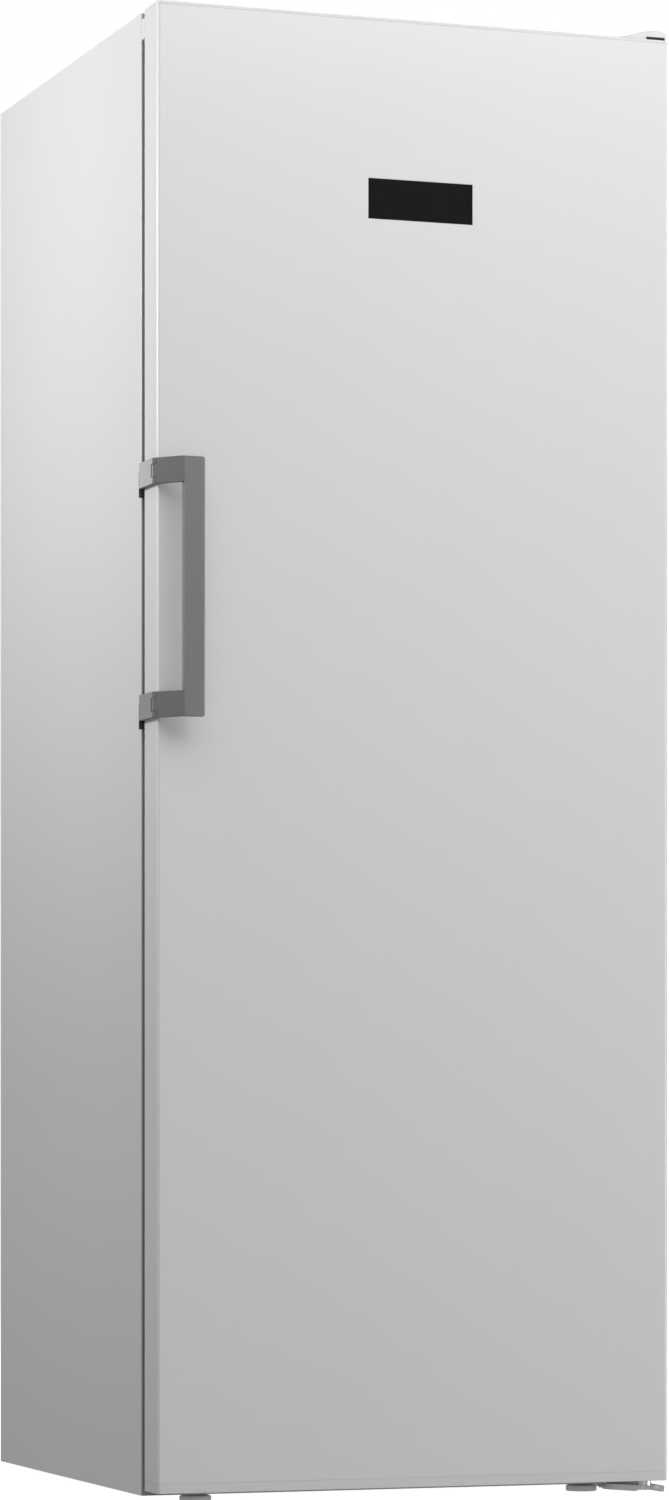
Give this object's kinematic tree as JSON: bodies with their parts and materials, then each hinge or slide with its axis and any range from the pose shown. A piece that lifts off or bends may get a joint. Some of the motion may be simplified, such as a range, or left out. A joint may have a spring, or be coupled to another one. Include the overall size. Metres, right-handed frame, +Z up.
{
  "type": "upright freezer",
  "caption": "Tall free-standing freezer with a single hinged door, a wrap-round lever handle, a flush display and drawers behind the door.",
  "frame": {"origin": "on the floor, under the middle of the whole freezer's box", "axes": "+Z up, the door faces -Y, +X towards the door's hinges"},
  "size_m": [0.7095, 0.786, 1.915],
  "materials": {
    "white_paint": "satin",
    "back_sheet": "matte",
    "zinc_steel": "satin",
    "pin_steel": "polished",
    "hinge_grey": "satin",
    "white_plastic": "satin",
    "liner_plastic": "gloss",
    "foam": "matte",
    "seal_rubber": "matte",
    "mount_rubber": "matte",
    "black_glass": "gloss",
    "black_plastic": "matte",
    "handle_grey": "satin",
    "handle_plastic": "satin",
    "guide_plastic": "satin",
    "drawer_plastic": "gloss",
    "shelf_glass": "gloss",
    "lamp_plastic": "satin",
    "fin_aluminium": "satin",
    "copper": "satin",
    "compressor_paint": "satin",
    "tray_plastic": "matte",
    "fan_plastic": "matte",
    "foot_plastic": "matte",
    "roller_plastic": "matte"
  },
  "bodies": {
    "cabinet": {"side_panel_left": "white_paint", "side_panel_right": "white_paint", "top_panel": "white_paint", "top_front_trim": "white_plastic", "back_panel": "back_sheet", "bottom_panel": "back_sheet", "top_crossbar": "zinc_steel", "bottom_crossbar": "zinc_steel", "cabinet_foam": "foam", "inner_liner": "liner_plastic", "compressor_tray": "zinc_steel", "compressor": "compressor_paint", "compressor_mounts": "mount_rubber", "filter_drier": "copper", "refrigerant_pipes": "copper", "drip_tray": "tray_plastic", "condenser_tube": "copper", "evaporator": "fin_aluminium", "duct_cover": "liner_plastic", "fan_motor": "black_plastic", "shelves": "shelf_glass", "light_cover": "lamp_plastic", "control_box": "black_plastic", "upper_hinge_bracket": "hinge_grey", "upper_hinge_cover": "white_plastic", "lower_hinge_bracket": "hinge_grey", "hinge_pins": "pin_steel", "hinge_screws": "zinc_steel", "roller_brackets": "zinc_steel", "wall_spacers": "black_plastic", "power_inlet": "black_plastic"},
    "door": {"door_skin": "white_paint", "door_top_cap": "white_plastic", "door_bottom_cap": "white_plastic", "door_foam": "foam", "door_liner": "liner_plastic", "door_gasket": "seal_rubber", "hinge_bushings": "guide_plastic", "display_glass": "black_glass", "display_housing": "black_plastic", "handle_mount_upper": "handle_plastic", "handle_mount_lower": "handle_plastic", "handle_pins": "pin_steel"},
    "handle": {"handle_grip": "handle_grey", "handle_arm_upper": "handle_plastic", "handle_arm_lower": "handle_plastic"},
    "pushers": {"handle_pushers": "guide_plastic"},
    "fan": {"fan_blade": "fan_plastic"},
    "foot_l": {"foot_left": "foot_plastic"},
    "foot_r": {"foot_right": "foot_plastic"},
    "roller_l": {"roller_left": "roller_plastic"},
    "roller_r": {"roller_right": "roller_plastic"},
    "bin_1": {"drawer_1": "drawer_plastic"},
    "bin_2": {"drawer_2": "drawer_plastic"},
    "bin_3": {"drawer_3": "drawer_plastic"},
    "bin_4": {"drawer_4": "drawer_plastic"},
    "bin_5": {"drawer_5": "drawer_plastic"},
    "bin_6": {"drawer_6": "drawer_plastic"},
    "lid_1": {"flap_1": "drawer_plastic"},
    "lid_2": {"flap_2": "drawer_plastic"}
  },
  "joints": [
    {"name": "door_hinge", "type": "hinge", "parent": "cabinet", "child": "door", "pos_m": [0.328, -0.329, 0.96], "axis": [0, 0, 1], "range_deg": [0, 135]},
    {"name": "handle_lever", "type": "hinge", "parent": "door", "child": "handle", "pos_m": [-0.3535, -0.354, 1.16], "axis": [0, 0, -1], "range_deg": [0, 18], "stiffness_Nm_per_rad": 6, "springref_deg": -5.73},
    {"name": "pusher_slide", "type": "slide", "parent": "door", "child": "pushers", "axis": [0, 1, 0], "range_m": [0, 0.005]},
    {"name": "fan_spin", "type": "hinge", "parent": "cabinet", "child": "fan", "pos_m": [0, 0.227, 1.712], "axis": [0, 1, 0], "continuous": true},
    {"name": "foot_left_screw", "type": "slide", "parent": "cabinet", "child": "foot_l", "axis": [0, 0, -1], "range_m": [0, 0.02]},
    {"name": "foot_right_screw", "type": "slide", "parent": "cabinet", "child": "foot_r", "axis": [0, 0, -1], "range_m": [0, 0.02]},
    {"name": "roller_left_spin", "type": "hinge", "parent": "cabinet", "child": "roller_l", "pos_m": [-0.298, 0.327, 0.012], "axis": [1, 0, 0], "continuous": true},
    {"name": "roller_right_spin", "type": "hinge", "parent": "cabinet", "child": "roller_r", "pos_m": [0.298, 0.327, 0.012], "axis": [1, 0, 0], "continuous": true},
    {"name": "drawer_1_slide", "type": "slide", "parent": "cabinet", "child": "bin_1", "axis": [0, -1, 0], "range_m": [0, 0.25]},
    {"name": "drawer_2_slide", "type": "slide", "parent": "cabinet", "child": "bin_2", "axis": [0, -1, 0], "range_m": [0, 0.36]},
    {"name": "drawer_3_slide", "type": "slide", "parent": "cabinet", "child": "bin_3", "axis": [0, -1, 0], "range_m": [0, 0.36]},
    {"name": "drawer_4_slide", "type": "slide", "parent": "cabinet", "child": "bin_4", "axis": [0, -1, 0], "range_m": [0, 0.36]},
    {"name": "drawer_5_slide", "type": "slide", "parent": "cabinet", "child": "bin_5", "axis": [0, -1, 0], "range_m": [0, 0.36]},
    {"name": "drawer_6_slide", "type": "slide", "parent": "cabinet", "child": "bin_6", "axis": [0, -1, 0], "range_m": [0, 0.36]},
    {"name": "flap_1_hinge", "type": "hinge", "parent": "cabinet", "child": "lid_1", "pos_m": [0, -0.2382, 1.4585], "axis": [1, 0, 0], "range_deg": [0, 90]},
    {"name": "flap_2_hinge", "type": "hinge", "parent": "cabinet", "child": "lid_2", "pos_m": [0, -0.2382, 1.6485], "axis": [1, 0, 0], "range_deg": [0, 90]}
  ],
  "couplings": [
    {"joint": "pusher_slide", "follows": "handle_lever", "m_per_rad": 0.0159},
    {"joint": "drawer_1_slide", "follows": "door_hinge", "m_per_rad": 0.1},
    {"joint": "drawer_2_slide", "follows": "door_hinge", "m_per_rad": 0.1},
    {"joint": "drawer_3_slide", "follows": "door_hinge", "m_per_rad": 0.1},
    {"joint": "drawer_4_slide", "follows": "door_hinge", "m_per_rad": 0.1},
    {"joint": "drawer_5_slide", "follows": "door_hinge", "m_per_rad": 0.1},
    {"joint": "drawer_6_slide", "follows": "door_hinge", "m_per_rad": 0.1},
    {"joint": "flap_1_hinge", "follows": "door_hinge", "ratio": 0.6666},
    {"joint": "flap_2_hinge", "follows": "door_hinge", "ratio": 0.6666}
  ]
}
